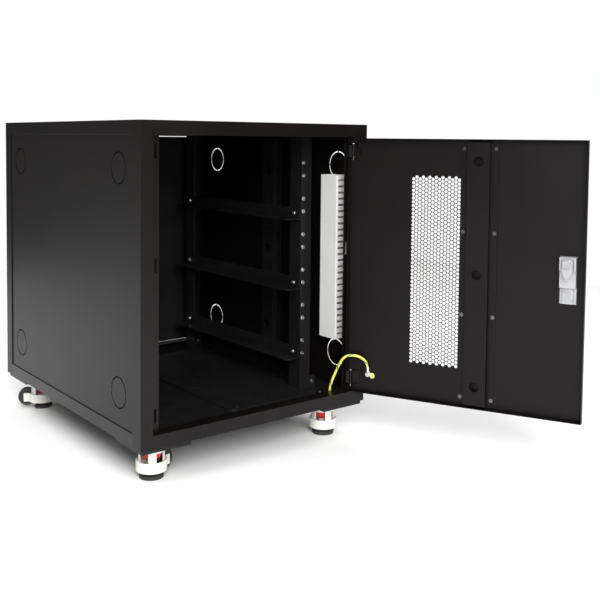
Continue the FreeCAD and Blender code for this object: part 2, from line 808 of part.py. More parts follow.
def hinge_leaf(z):
    """Door half of a hinge: plate on the skin with an ear above and below the barrel."""
    skin = front + door_sheet
    half = hinge_barrel_height / 2 + hinge_ear_gap
    tall = half + hinge_ear_thickness
    plate = block(door_half - hinge_leaf_outer, door_half - hinge_leaf_inner, skin, skin + 2, z - tall, z + tall)
    pieces = [plate]
    bores = []
    for low in (z - tall, z + half):
        ear = block(door_half - hinge_leaf_inner - 4, hinge_x, skin, hinge_y + hinge_barrel_radius, low,
                    low + hinge_ear_thickness)
        eye = rod(hinge_x, hinge_y, low, hinge_barrel_radius, hinge_ear_thickness)
        pieces += [ear, eye]
        bores.append(rod(hinge_x, hinge_y, low - 1, hinge_pin_radius + hinge_running_clearance,
                         hinge_ear_thickness + 2))
    for dz in (-hinge_screw_spacing / 2, hinge_screw_spacing / 2):
        bores.append(rod(door_half - hinge_screw_inset, skin - 1, z + dz, door_rivet_radius, 5, Vector(0, 1, 0)))
    return without(joined(pieces), bores)


def hinge_pin(z):
    """Plain pin with a flat head resting on the upper ear."""
    half = hinge_barrel_height / 2 + hinge_ear_gap + hinge_ear_thickness
    pin = rod(hinge_x, hinge_y, z - half - 1.5, hinge_pin_radius, 2 * half + 1.5)
    head = rod(hinge_x, hinge_y, z + half, hinge_barrel_radius - 0.2, 1.5)
    return joined([pin, head])


hinge_screws = []
for name, z in hinge_heights.items():
    parts[name + "_hinge_bracket"] = hinge_bracket(z)
    parts[name + "_hinge_leaf"] = opened(hinge_leaf(z))
    for dz in (-hinge_screw_spacing / 2, hinge_screw_spacing / 2):
        hinge_screws.append(screw(door_half - hinge_screw_inset, front + door_sheet + 2, z + dz, Vector(0, -1, 0),
                                  door_rivet_radius, 2.0, 4.0, 2.4))

parts["front_door_panel"] = opened(front_door_panel())
parts["door_stiffener"] = opened(door_stiffener())
parts["door_rivets"] = opened(Part.makeCompound([door_rivet(x, z) for x, z in door_rivet_places()]))
parts["hinge_pins"] = opened(Part.makeCompound([hinge_pin(z) for z in hinge_heights.values()]))
parts["hinge_screws"] = opened(Part.makeCompound(hinge_screws))


# ---------------------------------------------------------------- swing-handle lock
def lock_housing():
    """Outer plate, inner block with two cheeks, and the lower tongue that clamps the plate."""
    plate = block(lock_x - lock_plate_width / 2, lock_x + lock_plate_width / 2, front - lock_plate_sheet, front,
                  lock_z + lock_plate_top - lock_plate_height, lock_z + lock_plate_top)
    half = lock_block_width / 2
    depth = front + lock_block_depth
    body = block(lock_x - half, lock_x + half, front - 1, depth - lock_cheek, lock_z - lock_block_below,
                 lock_z + lock_block_above)
    cheeks = [block(lock_x + side * half, lock_x + side * (half - lock_cheek), front, depth,
                    lock_z - lock_cheek_below, lock_z + lock_block_above) for side in (-1, 1)]
    tongue = block(lock_x - lock_tongue_width / 2, lock_x + lock_tongue_width / 2, front - 1,
                   front + lock_tongue_depth, lock_z - lock_tongue_below, lock_z - lock_block_below)
    bore = rod(lock_x, front - 10, lock_z, spindle_radius + spindle_clearance, 40, Vector(0, 1, 0))
    return joined([plate, body, tongue] + cheeks).cut(bore)


def lock_spindle():
    """Turning hub, shaft and inner nut; the hub is cross-drilled for the handle's pin."""
    face = front - lock_plate_sheet
    hub = rod(lock_x, face - 0.3 - spindle_hub_length, lock_z, spindle_hub_radius, spindle_hub_length,
              Vector(0, 1, 0))
    shaft_end = front + cam_setback + cam_sheet + 0.2
    shaft = rod(lock_x, face - 0.3, lock_z, spindle_radius, shaft_end - face + 0.3, Vector(0, 1, 0))
    nut = rod(lock_x, shaft_end, lock_z, spindle_nut_radius, spindle_nut_height, Vector(0, 1, 0))
    cross = rod(lock_x - 20, handle_pin_y, lock_z, handle_pin_radius + spindle_clearance, 40, Vector(1, 0, 0))
    return joined([hub, shaft, nut]).cut(cross)


def latch_cam():
    """Flat tapering arm on the spindle; it hangs down when unlocked."""
    y0 = front + cam_setback
    root = cam_root_width / 2
    tip = cam_tip_width / 2
    outline = [(-root, 0), (root, 0), (root, -cam_shoulder), (tip, -cam_length), (-tip, -cam_length),
               (-root, -cam_shoulder)]
    arm = prism([Vector(lock_x + x, y0, lock_z + z) for x, z in outline], Vector(0, cam_sheet, 0))
    eye = rod(lock_x, y0, lock_z, root, cam_sheet, Vector(0, 1, 0))
    bore = rod(lock_x, y0 - 1, lock_z, spindle_radius + spindle_clearance, cam_sheet + 2, Vector(0, 1, 0))
    return joined([arm, eye]).cut(bore)


def swing_handle():
    """Bar with a forked upper end whose pin runs through the hub."""
    half = handle_width / 2
    outer = front - lock_plate_sheet - handle_lift - handle_thickness
    inner = outer + handle_thickness
    bar = block(lock_x - half, lock_x + half, outer, inner, lock_z - handle_length, lock_z - handle_neck)
    grip_edges = [e for e in bar.Edges if abs(e.tangentAt(e.FirstParameter).z) > 0.99 and e.CenterOfMass.y < outer + 1]
    bar = bar.makeFillet(4.0, grip_edges)
    pieces = [bar]
    for side in (-1, 1):
        near = lock_x + side * (spindle_hub_radius + handle_ear_gap)
        far = near + side * handle_ear
        pieces.append(block(near, far, handle_pin_y - 4, handle_pin_y + 4, lock_z - handle_neck - 2, lock_z))
        pieces.append(rod(min(near, far), handle_pin_y, lock_z, 4.0, handle_ear, Vector(1, 0, 0)))
    reach = spindle_hub_radius + handle_ear_gap + handle_ear
    pieces.append(rod(lock_x - reach, handle_pin_y, lock_z, handle_pin_radius, 2 * reach, Vector(1, 0, 0)))
    return joined(pieces)


handle_pin_y = front - lock_plate_sheet - 0.3 - handle_pin_offset
parts["lock_housing"] = opened(lock_housing())
parts["lock_spindle"] = opened(lock_spindle())
parts["latch_cam"] = opened(latch_cam())
parts["swing_handle"] = opened(swing_handle())


# ---------------------------------------------------------------- earth wire between the sill and the door
def ground_stud():
    """Upright stud with its nut; the wire's ring terminal is clamped under the nut."""
    stud = rod(0, 0, 0, ground_stud_radius, ground_stud_height)
    nut = hexagon(0, 0, lug_sheet, ground_nut_flats, ground_nut_height)
    nut = nut.cut(rod(0, 0, 0, ground_stud_radius, 2 * ground_stud_height))
    eye = rod(0, 0, 0, lug_radius, lug_sheet)
    strap = block(0, lug_barrel_start + 1, -lug_barrel_radius, lug_barrel_radius, 0, lug_sheet)
    eye = joined([eye, strap]).cut(rod(0, 0, -1, ground_stud_radius, 2 * ground_stud_height))
    along = Vector(1, 0, 0)
    barrel = rod(lug_barrel_start, 0, lug_barrel_radius, lug_barrel_radius, lug_barrel_length, along)
    barrel = barrel.cut(rod(lug_wire_start, 0, lug_barrel_radius, wire_radius, lug_barrel_length, along))
    return Part.makeCompound([stud, nut, joined([eye, barrel])])


def placed(shape, turn, tilt_axis, tilt, place):
    """Copy of a stud turned about its own axis, tilted and moved."""
    moved = shape.copy()
    moved.rotate(Vector(0, 0, 0), Vector(0, 0, 1), turn)
    moved.rotate(Vector(0, 0, 0), tilt_axis, tilt)
    moved.translate(place)
    return moved


stud_place = Vector(ground_stud_x, front + ground_stud_setback, bottom + frame_sheet)
parts["cabinet_ground_stud"] = placed(ground_stud(), ground_stud_heading, Vector(1, 0, 0), 0, stud_place)
door_stud_place = Vector(door_half - door_stud_inset, front + door_sheet, door_bottom + door_stud_height)
parts["door_ground_stud"] = opened(placed(ground_stud(), -90, Vector(1, 0, 0), -90, door_stud_place))


def tube_along(points, radius):
    """Round tube on straight runs joined by arcs as large as the runs allow; also its length and radii."""
    edges = []
    radii = []
    here = points[0]
    for i in range(1, len(points) - 1):
        before = points[i] - points[i - 1]
        after = points[i + 1] - points[i]
        turn = before.getAngle(after)
        shorter = min(before.Length, after.Length)
        bend = 0.45 * shorter / math.tan(turn / 2)
        cut_back = 0.45 * shorter
        radii.append(round(bend, 1))
        start = points[i] - Vector(before).normalize().multiply(cut_back)
        end = points[i] + Vector(after).normalize().multiply(cut_back)
        inward = (Vector(after).normalize() - Vector(before).normalize()).normalize()
        middle = points[i] + inward.multiply(bend / math.cos(turn / 2) - bend)
        edges.append(Part.LineSegment(here, start).toShape())
        edges.append(Part.Arc(start, middle, end).toShape())
        here = end
    edges.append(Part.LineSegment(here, points[-1]).toShape())
    path = Part.Wire(edges)
    circle = Part.Wire([Part.makeCircle(radius, points[0], points[1] - points[0])])
    return path.makePipeShell([circle], True, False), path.Length, radii


def sill_lug(reach):
    """Point on the axis of the cabinet terminal's barrel."""
    heading = math.radians(ground_stud_heading)
    return stud_place + Vector(reach * math.cos(heading), reach * math.sin(heading), lug_barrel_radius)


def on_open_door(from_hinge_edge, height, from_face):
    """Point given on the closed door, carried to the open door."""
    angle = math.radians(door_open_angle)
    dx = door_half - from_hinge_edge - hinge_x
    dy = front + from_face - hinge_y
    x = hinge_x + dx * math.cos(angle) - dy * math.sin(angle)
    y = hinge_y + dx * math.sin(angle) + dy * math.cos(angle)
    return Vector(x, y, door_bottom + height)


door_lug_depth = door_sheet + lug_barrel_radius
wire_route = [
    sill_lug(lug_wire_start),
    sill_lug(27.5),
    Vector(228.0, -332.5, 105.0),
    Vector(229.0, -335.0, 124.0),
    Vector(233.5, -338.0, 141.0),
    Vector(238.0, -344.0, 158.0),
    Vector(240.0, -352.0, 175.5),
    Vector(239.0, -364.0, 191.0),
    on_open_door(4.0, 86.0, 24.0),
    on_open_door(19.0, 88.5, 18.0),
    on_open_door(34.0, 84.5, 11.0),
    on_open_door(46.0, 75.5, 7.0),
    on_open_door(door_stud_inset, 63.5, door_lug_depth),
    on_open_door(door_stud_inset, door_stud_height + lug_wire_start, door_lug_depth),
]

# ---------------------------------------------------------------- levelling casters
def half_round(radius, flat, z, height):
    """Disc with one side cut off flat, towards +X."""
    return rod(0, 0, z, radius, height).cut(block(flat, radius + 1, -radius - 1, radius + 1, z - 1, z + height + 1))


def caster_plate():
    """Square mounting plate, bearing boss and riveted king pin."""
    half = caster_plate_side / 2
    low = caster_height - caster_plate_sheet
    plate = rounded_slab(-half, half, -half, half, low, caster_height, 6)
    holes = [rod(dx, dy, low - 1, caster_bolt_radius + screw_clearance, caster_plate_sheet + 2)
             for dx in (-caster_bolt_spacing / 2, caster_bolt_spacing / 2)
             for dy in (-caster_bolt_spacing / 2, caster_bolt_spacing / 2)]
    boss = rod(0, 0, low - caster_boss_height, caster_boss_radius, caster_boss_height)
    pin = rod(0, 0, king_pin_head_bottom, king_pin_radius, low - king_pin_head_bottom)
    head = rod(0, 0, king_pin_head_bottom, king_pin_head_radius, king_pin_head_height)
    return joined([without(plate, holes), boss, pin, head])


def cage_pillar_wedges():
    """Upright wedges that mark out the four pillars."""
    for i in range(cage_pillars):
        middle = 45 + i * 360 / cage_pillars
        wedge = Part.makeCylinder(2 * cage_radius, caster_height, Vector(0, 0, 0), Vector(0, 0, 1), cage_pillar_angle)
        wedge.rotate(Vector(0, 0, 0), Vector(0, 0, 1), middle - cage_pillar_angle / 2)
        yield wedge


def caster_cage():
    """Swivelling casting: roof, four pillars, open cup, collar and the fork for the wheel, with its axle."""
    inner = cage_radius - cage_wall
    deck_top = caster_deck_bottom + caster_deck_sheet
    roof = rod(0, 0, cage_top - cage_roof, cage_radius, cage_roof)
    skirt = ring(0, 0, thrust_disc_bottom, cage_radius, inner, cage_top - thrust_disc_bottom)
    thrust = rod(0, 0, thrust_disc_bottom, cage_radius, thrust_disc_sheet)
    upper_tube = ring(0, 0, deck_top - 1, cage_radius, inner, thrust_disc_bottom - deck_top + 2)
    lower_tube = ring(0, 0, deck_top - 1, pillar_foot_radius, inner, caster_ring_top - deck_top + 1)
    tube = joined([upper_tube, lower_tube])
    pillars = [tube.common(wedge) for wedge in cage_pillar_wedges()]
    deck = rod(0, 0, caster_deck_bottom, caster_ring_radius, caster_deck_sheet)
    wall = ring(0, 0, caster_ring_bottom, caster_ring_radius, caster_ring_radius - caster_ring_wall,
                caster_ring_top - caster_ring_bottom)
    collar = rod(0, 0, caster_deck_bottom, collar_radius, collar_top - caster_deck_bottom)
    well_half = wheel_width / 2 + wheel_side_gap
    wheel_z = wheel_ground_gap + wheel_radius
    cheeks = [block(caster_ring_radius - 8, wheel_trail + 8, side * well_half, side * (well_half + fork_sheet),
                    caster_ring_bottom, caster_ring_top) for side in (-1, 1)]
    body = joined([roof, skirt, thrust, deck, wall, collar] + pillars + cheeks)
    well = block(collar_radius + 0.5, wheel_trail + wheel_radius + 5, -well_half, well_half, 0, thrust_disc_bottom - 1)
    bores = [
        rod(0, 0, 0, stem_hole_radius, thrust_disc_bottom + thrust_disc_sheet + 0.5),
        rod(0, 0, cage_top - cage_roof - 1, king_pin_radius + swivel_clearance, cage_roof + 2),
        rod(wheel_trail, -caster_height, wheel_z, axle_radius, 2 * caster_height, Vector(0, 1, 0)),
        well,
    ]
    axle_half = well_half + fork_sheet
    axle = rod(wheel_trail, -axle_half, wheel_z, axle_radius, 2 * axle_half, Vector(0, 1, 0))
    return Part.makeCompound([without(body, bores), axle])


def caster_wheel():
    """Hard wheel with recessed sides."""
    z = wheel_ground_gap + wheel_radius
    half = wheel_width / 2
    wheel = rod(wheel_trail, -half, z, wheel_radius, wheel_width, Vector(0, 1, 0))
    wheel = wheel.makeFillet(2.5, [e for e in wheel.Edges if e.Length > 6 * wheel_radius])
    recesses = [ring(wheel_trail, y, z, wheel_radius - 5, 7, 3, Vector(0, 1, 0)) for y in (-half, half - 3)]
    bore = rod(wheel_trail, -half - 1, z, axle_radius + axle_clearance, wheel_width + 2, Vector(0, 1, 0))
    return without(wheel, recesses + [bore])


def caster_adjuster():
    """Thumb wheel threaded on the foot's stem, notched for a finger or spanner."""
    hub_bottom = adjuster_bottom - adjuster_hub_height
    wheel = rod(0, 0, adjuster_bottom, adjuster_radius, adjuster_height)
    hub = rod(0, 0, hub_bottom, adjuster_hub_radius, adjuster_hub_height)
    notches = []
    for i in range(adjuster_notches):
        a = math.radians(i * 360 / adjuster_notches)
        notches.append(rod(adjuster_radius * math.cos(a), adjuster_radius * math.sin(a), adjuster_bottom - 1,
                           adjuster_notch_radius, adjuster_height + 2))
    bore = rod(0, 0, hub_bottom - 1, stem_radius + stem_clearance, adjuster_height + adjuster_hub_height + 2)
    return without(joined([wheel, hub]), notches + [bore])


def caster_foot():
    """Rubber pad with a steel cup and a threaded stem; one side is flat to clear the wheel."""
    pad = half_round(pad_radius, pad_flat, 0, pad_height)
    cup = half_round(pad_cup_radius, pad_flat, pad_height, pad_cup_height)
    stem = rod(0, 0, pad_height, stem_radius, stem_top - pad_height)
    return joined([pad, cup, stem])


caster_pieces = {
    "plate": (caster_plate(), False),
    "cage": (caster_cage(), True),
    "wheel": (caster_wheel(), True),
    "adjuster": (caster_adjuster(), True),
    "foot": (caster_foot(), True),
}
for site, (side_x, side_y, trail_angle) in caster_sites.items():
    place = Vector(side_x * (half_width - caster_inset_x), side_y * (rear - caster_inset_y), 0)
    for piece, (shape, swivels) in caster_pieces.items():
        if swivels:
            moved = placed(shape, trail_angle, Vector(0, 0, 1), 0, place)
        else:
            moved = placed(shape, 0, Vector(0, 0, 1), 0, place)
        parts[site + "_caster_" + piece] = moved

# ---------------------------------------------------------------- wire and export
wire, wire_length, wire_radii = tube_along(wire_route, wire_radius)
parts["ground_wire"] = wire
section = math.pi * wire_radius ** 2
print("earth wire length", round(wire_length, 1), "radii", wire_radii)
print("earth wire volume / section*length", round(wire.Volume / (section * wire_length), 4))

for name, shape in parts.items():
    solids = shape.Solids
    if not shape.isValid() or not solids or min(s.Volume for s in solids) <= 0:
        print("CHECK", name, "valid", shape.isValid(), "solids", len(solids))
    shape.exportStep("parts/" + name + ".step")
print(len(parts), "nodes")
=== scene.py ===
"""Looks, light and camera for the rack cabinet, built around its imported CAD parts.

Frame: metres, origin on the floor under the middle of the cabinet, +X right, +Y to the rear, +Z up.
"""
import json
import math

import bmesh
import bpy
from mathutils import Matrix, Vector


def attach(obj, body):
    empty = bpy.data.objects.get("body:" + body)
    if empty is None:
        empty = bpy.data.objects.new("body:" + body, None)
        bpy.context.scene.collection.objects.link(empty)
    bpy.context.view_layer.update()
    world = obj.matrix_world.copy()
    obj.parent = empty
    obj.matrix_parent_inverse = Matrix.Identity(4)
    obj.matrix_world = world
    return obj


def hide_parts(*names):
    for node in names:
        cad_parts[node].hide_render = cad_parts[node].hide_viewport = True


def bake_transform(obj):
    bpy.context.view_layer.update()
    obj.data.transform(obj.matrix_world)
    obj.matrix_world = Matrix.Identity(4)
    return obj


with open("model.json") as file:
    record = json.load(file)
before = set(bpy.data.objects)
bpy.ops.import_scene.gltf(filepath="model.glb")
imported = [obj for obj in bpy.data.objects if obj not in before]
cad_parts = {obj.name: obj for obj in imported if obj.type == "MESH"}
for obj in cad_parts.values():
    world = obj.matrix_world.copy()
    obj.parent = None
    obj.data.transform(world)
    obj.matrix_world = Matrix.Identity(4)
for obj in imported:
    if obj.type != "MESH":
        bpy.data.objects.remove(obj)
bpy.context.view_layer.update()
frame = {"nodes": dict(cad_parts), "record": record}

RECORD = frame["record"]
NODE_SLOT = {entry["node"]: entry["material_slot"] for entry in RECORD["subparts"]}
NODE_BODY = {node: body for body, nodes in RECORD["behaviour"]["bodies"].items() for node in nodes}
JOINTS = {joint["name"]: joint for joint in RECORD["behaviour"]["joints"]}
CASTER_SITES = ("front_left", "front_right", "rear_left", "rear_right")

# Widths of rounded edges, by how each piece is made.
SHEET_BEVEL = 0.0006
THIN_SHEET_BEVEL = 0.00035
CASTING_BEVEL = 0.0007
SMALL_PART_BEVEL = 0.0005
MOULDING_BEVEL = 0.0008
STUD_BEVEL = 0.0002

JOINED_WITHIN = 0.000002
TURNED_CREASE = math.radians(35)
WIRE_DIAMETER = 0.006
WIRE_SIDES = 20
TWISTS_PER_METRE = 22.0

# The door at rest stands open by the whole of its closing travel.
DOOR_SWING = math.radians(-JOINTS["door_swing"]["range_deg"][0])
HINGE_AXIS = Vector((*JOINTS["door_swing"]["pos_m"][:2], 0.0))
DOOR_EDGE_X = 0.270
DOOR_FACE_Y = -0.375
DOOR_BOTTOM_Z = 0.116
DOOR_SHEET = 0.0012
DOOR_INWARD = Vector((-math.sin(DOOR_SWING), math.cos(DOOR_SWING), 0))

ACROSS = Vector((1, 0, 0))
DEEP = Vector((0, 1, 0))
UPRIGHT = Vector((0, 0, 1))


# ------------------------------------------------------------------ shader building
class Signal:
    """A node output that takes part in arithmetic."""

    def __init__(self, shade, socket):
        self.shade = shade
        self.socket = socket

    def _math(self, operation, first, second):
        return self.shade.add("ShaderNodeMath", {"operation": operation}, {0: first, 1: second})

    def __add__(self, other):
        return self._math("ADD", self, other)

    def __radd__(self, other):
        return self._math("ADD", other, self)

    def __sub__(self, other):
        return self._math("SUBTRACT", self, other)

    def __rsub__(self, other):
        return self._math("SUBTRACT", other, self)

    def __mul__(self, other):
        return self._math("MULTIPLY", self, other)

    def __rmul__(self, other):
        return self._math("MULTIPLY", other, self)

    def __gt__(self, other):
        return self._math("GREATER_THAN", self, other)

    def ramp(self, low, high):
        """0 at low and under, 1 at high and over."""
        ends = {1: low, 2: high, 3: 0.0, 4: 1.0}
        return self.shade.add("ShaderNodeMapRange", {"clamp": True}, {0: self, **ends})


class Shade:
    """One material under construction."""

    def __init__(self, name):
        self.material = bpy.data.materials.new(name)
        self.material.use_nodes = True
        self.tree = self.material.node_tree
        self.tree.nodes.clear()
        self.surface = self.tree.nodes.new("ShaderNodeBsdfPrincipled")
        self.output = self.tree.nodes.new("ShaderNodeOutputMaterial")
        self.tree.links.new(self.surface.outputs[0], self.output.inputs[0])
        self.coordinates = self.tree.nodes.new("ShaderNodeTexCoord")

    def _feed(self, socket, value):
        if isinstance(value, Signal):
            self.tree.links.new(value.socket, socket)
        else:
            socket.default_value = value

    def add(self, kind, settings=None, inputs=None, output=0):
        """A node of the given type: its settings first, then the values or links of its sockets."""
        node = self.tree.nodes.new(kind)
        for name, value in (settings or {}).items():
            setattr(node, name, value)
        for name, value in (inputs or {}).items():
            self._feed(node.inputs[name], value)
        return Signal(self, node.outputs[output])

    def place(self, stretch=(1, 1, 1)):
        spot = Signal(self, self.coordinates.outputs["Object"])
        if stretch == (1, 1, 1):
            return spot
        return self.combine("MULTIPLY", spot, stretch)

    def noise(self, scale, detail=2.0, roughness=0.5, stretch=(1, 1, 1)):
        inputs = {"Vector": self.place(stretch), "Scale": scale, "Detail": detail, "Roughness": roughness}
        return self.add("ShaderNodeTexNoise", {"noise_dimensions": "3D"}, inputs)

    def blend_colours(self, share, first, second):
        return self.add("ShaderNodeMix", {"data_type": "RGBA", "clamp_factor": True},
                        {0: share, 6: first, 7: second}, output=2)

    def combine(self, operation, first, second, output=0):
        """Vector maths; output 1 is the number that a length or a dot product gives."""
        return self.add("ShaderNodeVectorMath", {"operation": operation}, {0: first, 1: second}, output)

    def bump(self, height, strength, distance):
        return self.add("ShaderNodeBump", {}, {"Strength": strength, "Distance": distance, "Height": height})

    def finish(self, **inputs):
        for name, value in inputs.items():
            self._feed(self.surface.inputs[name.replace("_", " ")], value)
        return self.material


def colour(red, green, blue):
    return (red, green, blue, 1.0)


def round_sticker(shade, base, centre, facing, radius):
    """A yellow disc with a dark rim, stuck on the side of the sheet that faces this way."""
    away = shade.combine("DISTANCE", shade.place(), centre, output=1)
    proud = shade.combine("DOT_PRODUCT", shade.combine("SUBTRACT", shade.place(), centre), facing, output=1)
    inside = (1.0 - away.ramp(radius - 0.0003, radius)) * (proud > -DOOR_SHEET / 2)
    rim = away.ramp(radius * 0.80, radius * 0.84)
    label = shade.blend_colours(rim, colour(0.82, 0.78, 0.20), colour(0.05, 0.05, 0.02))
    return shade.blend_colours(inside, base, label)


def powder_coat(name, dark, light, gloss, texture=0.22, sticker=None):
    """Satin black powder coat: fine orange peel, soft tone drift and faint rubs."""
    shade = Shade(name)
    drift = shade.noise(5.0, 3.0)
    peel = shade.noise(620.0, 2.0, 0.55)
    speck = shade.noise(2300.0, 1.0, 0.5)
    rub = shade.noise(26.0, 5.0, 0.7, (1.0, 1.0, 0.12)).ramp(0.60, 0.78)
    base = shade.blend_colours(drift.ramp(0.35, 0.68), dark, light)
    base = shade.blend_colours(peel.ramp(0.3, 0.8) * 0.2, base, colour(0.010, 0.0088, 0.0085))
    rough = gloss + 0.10 * drift + 0.07 * peel - 0.05 * rub
    if sticker is not None:
        base = round_sticker(shade, base, *sticker)
    relief = peel * 0.7 + speck * 0.3
    return shade.finish(Base_Color=base, Roughness=rough, Specular_IOR_Level=0.20,
                        Normal=shade.bump(relief, texture, 0.0004))


def worn_and_highlit_edge(name):
    """Where the coat thins over a folded or cut edge, and lighter all along it as a painted highlight."""
    shade = Shade(name)
    wear = shade.noise(140.0, 4.0, 0.7).ramp(0.45, 0.75)
    # The edge is lighter than the coat all along as a painted highlight, and lighter still in worn spots as
    # real wear.
    base = shade.blend_colours(wear, colour(0.006, 0.0055, 0.0052), colour(0.022, 0.020, 0.019))
    return shade.finish(Base_Color=base, Roughness=0.30 + 0.12 * wear, Metallic=0.15 * wear,
                        Normal=shade.bump(shade.noise(500.0), 0.15, 0.0003))


def bright_zinc(name, tone, spot):
    """Plated steel with a faint crystal mottle and drawn lines along Z."""
    shade = Shade(name)
    mottle = shade.noise(180.0, 4.0, 0.65)
    lines = shade.noise(700.0, 2.0, 0.5, (1.0, 1.0, 0.05))
    base = shade.blend_colours(mottle.ramp(0.3, 0.7), tone, spot)
    return shade.finish(Base_Color=base, Metallic=1.0, Roughness=0.24 + 0.16 * mottle,
                        Normal=shade.bump(lines, 0.12, 0.0002))


def satin_plate(name):
    """Plated die casting of the lock."""
    shade = Shade(name)
    skin = shade.noise(260.0, 3.0, 0.6)
    stain = shade.noise(60.0, 3.0).ramp(0.4, 0.75)
    base = shade.blend_colours(stain, colour(0.44, 0.44, 0.45), colour(0.33, 0.335, 0.345))
    return shade.finish(Base_Color=base, Metallic=0.55, Roughness=0.30 + 0.15 * skin,
                        Normal=shade.bump(skin, 0.14, 0.0003))


def moulded(name, body, second, gloss, grain=500.0, relief=0.15):
    """Injection-moulded plastic with a faint grain."""
    shade = Shade(name)
    flow = shade.noise(14.0, 3.0)
    skin = shade.noise(grain, 2.0, 0.6)
    base = shade.blend_colours(flow.ramp(0.3, 0.7), body, second)
    return shade.finish(Base_Color=base, Roughness=gloss + 0.12 * skin,
                        Normal=shade.bump(skin, relief, 0.0003))


def cream_casting(name):
    """Cream enamel on a die casting, with a little dirt in patches."""
    shade = Shade(name)
    skin = shade.noise(300.0, 3.0, 0.6)
    dirt = shade.noise(45.0, 4.0, 0.7).ramp(0.52, 0.80)
    base = shade.blend_colours(dirt * 0.45, colour(0.84, 0.83, 0.77), colour(0.55, 0.52, 0.44))
    return shade.finish(Base_Color=base, Roughness=0.34 + 0.14 * skin, Coat_Weight=0.15,
                        Normal=shade.bump(skin, 0.12, 0.0003))


def moulded_rubber(name):
    """Matt black rubber with dust in its grain."""
    shade = Shade(name)
    grit = shade.noise(900.0, 3.0, 0.7)
    dust = shade.noise(70.0, 4.0).ramp(0.45, 0.8)
    base = shade.blend_colours(dust * 0.5, colour(0.018, 0.018, 0.018), colour(0.075, 0.072, 0.068))
    return shade.finish(Base_Color=base, Roughness=0.62 + 0.2 * grit, Normal=shade.bump(grit, 0.3, 0.0004))


def earth_insulation(name):
    """Yellow and green stripes that wind round the wire, from its own UV map."""
    shade = Shade(name)
    uv = Signal(shade, shade.coordinates.outputs["UV"])
    around = shade.add("ShaderNodeSeparateXYZ", {}, {0: uv})
    along = Signal(shade, around.socket.node.outputs[1])
    wind = shade.add("ShaderNodeMath", {"operation": "FRACT"}, {0: around + along * TWISTS_PER_METRE})
    green = wind > 0.80
    skin = shade.noise(700.0, 2.0)
    base = shade.blend_colours(green, colour(0.76, 0.70, 0.12), colour(0.12, 0.30, 0.09))
    return shade.finish(Base_Color=base, Roughness=0.33 + 0.1 * skin, Normal=shade.bump(skin, 0.08, 0.0002))


def plain_stage(name, tone):
    """Even matt paper."""
    shade = Shade(name)
    grain = shade.noise(3.0, 3.0)
    shaded = 0.985 * tone
    base = shade.blend_colours(grain, colour(tone, tone, tone), colour(shaded, shaded, shaded))
    return shade.finish(Base_Color=base, Roughness=0.75 + 0.1 * grain)


def open_door_point(from_hinge_edge, height, from_face):
    """A point given on the closed door, carried to the door at rest."""
    arm = Vector((DOOR_EDGE_X - from_hinge_edge, DOOR_FACE_Y + from_face, 0)) - HINGE_AXIS
    turned = Matrix.Rotation(DOOR_SWING, 3, "Z") @ arm
    return HINGE_AXIS + turned + Vector((0, 0, DOOR_BOTTOM_Z + height))


earth_sign = (open_door_point(0.0615, 0.040, DOOR_SHEET), DOOR_INWARD, 0.0075)
coat = powder_coat("black powder coat", colour(0.0034, 0.0026, 0.0024), colour(0.0050, 0.0039, 0.0036), 0.24)
# The same black powder coat, made lighter inside the bay as painted light where little lamp light reaches.
bay_coat_painted_light = powder_coat("black powder coat, inside, lightened as painted light", colour(0.0085, 0.0083, 0.0086),
                       colour(0.0130, 0.0127, 0.0130), 0.18)
# The same black powder coat, made darker on the door as painted shade.
door_coat_painted_shade = powder_coat("black powder coat, door, darkened as painted shade", colour(0.0026, 0.0015, 0.0017),
                        colour(0.0038, 0.0025, 0.0026), 0.34, 0.30, earth_sign)
edge_wear_and_highlight = worn_and_highlit_edge("powder coat over edges")
zinc = bright_zinc("bright zinc plate", colour(0.62, 0.63, 0.64), colour(0.80, 0.80, 0.77))
rivet_metal = bright_zinc("dulled rivet metal", colour(0.10, 0.10, 0.10), colour(0.22, 0.22, 0.21))
lock_metal = satin_plate("plated lock casting")
duct_plastic = moulded("pale grey duct plastic", colour(0.74, 0.74, 0.715), colour(0.78, 0.78, 0.755),
                       0.42)
red_plastic = moulded("red plastic", colour(0.78, 0.035, 0.012), colour(0.70, 0.030, 0.012), 0.36, 400.0)
black_plastic = moulded("black handle plastic", colour(0.018, 0.018, 0.018), colour(0.024, 0.023, 0.023),
                        0.42)
nylon = moulded("black nylon", colour(0.022, 0.022, 0.023), colour(0.030, 0.030, 0.030), 0.45)
cream = cream_casting("cream enamel")
rubber = moulded_rubber("black rubber")
insulation = earth_insulation("yellow and green insulation")

SLOT_FINISH = {
    "black_powder_coat": coat,
    "bright_zinc": zinc,
    "grey_duct_plastic": duct_plastic,
    "red_plastic": red_plastic,
    "striped_insulation": insulation,
    "lock_die_cast": lock_metal,
    "black_handle_plastic": black_plastic,
    "cream_die_cast": cream,
    "black_nylon": nylon,
    "black_rubber": rubber,
}


def paint(obj, *materials):
    obj.data.materials.clear()
    for material in materials:
        obj.data.materials.append(material)


for node_name, node_object in frame["nodes"].items():
    paint(node_object, SLOT_FINISH[NODE_SLOT[node_name]])


# ------------------------------------------------------------------ pieces made from the CAD shapes
def mount_piece(obj, *nodes):
    """A finished piece takes the place of CAD nodes on their body."""
    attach(obj, NODE_BODY[nodes[0]])
    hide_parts(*nodes)
    return obj


def new_object(name, data):
    """An object in the scene that holds this mesh, curve, lamp or camera."""
    obj = bpy.data.objects.new(name, data)
    bpy.context.scene.collection.objects.link(obj)
    return obj


def mesh_of(bm, name, crease=None):
    """The finished bmesh as a mesh, with edges sharper than the crease angle kept sharp."""
    mesh = bpy.data.meshes.new(name)
    bm.to_mesh(mesh)
    bm.free()
    if crease is not None:
        mesh.set_sharp_from_angle(angle=crease)
    return mesh


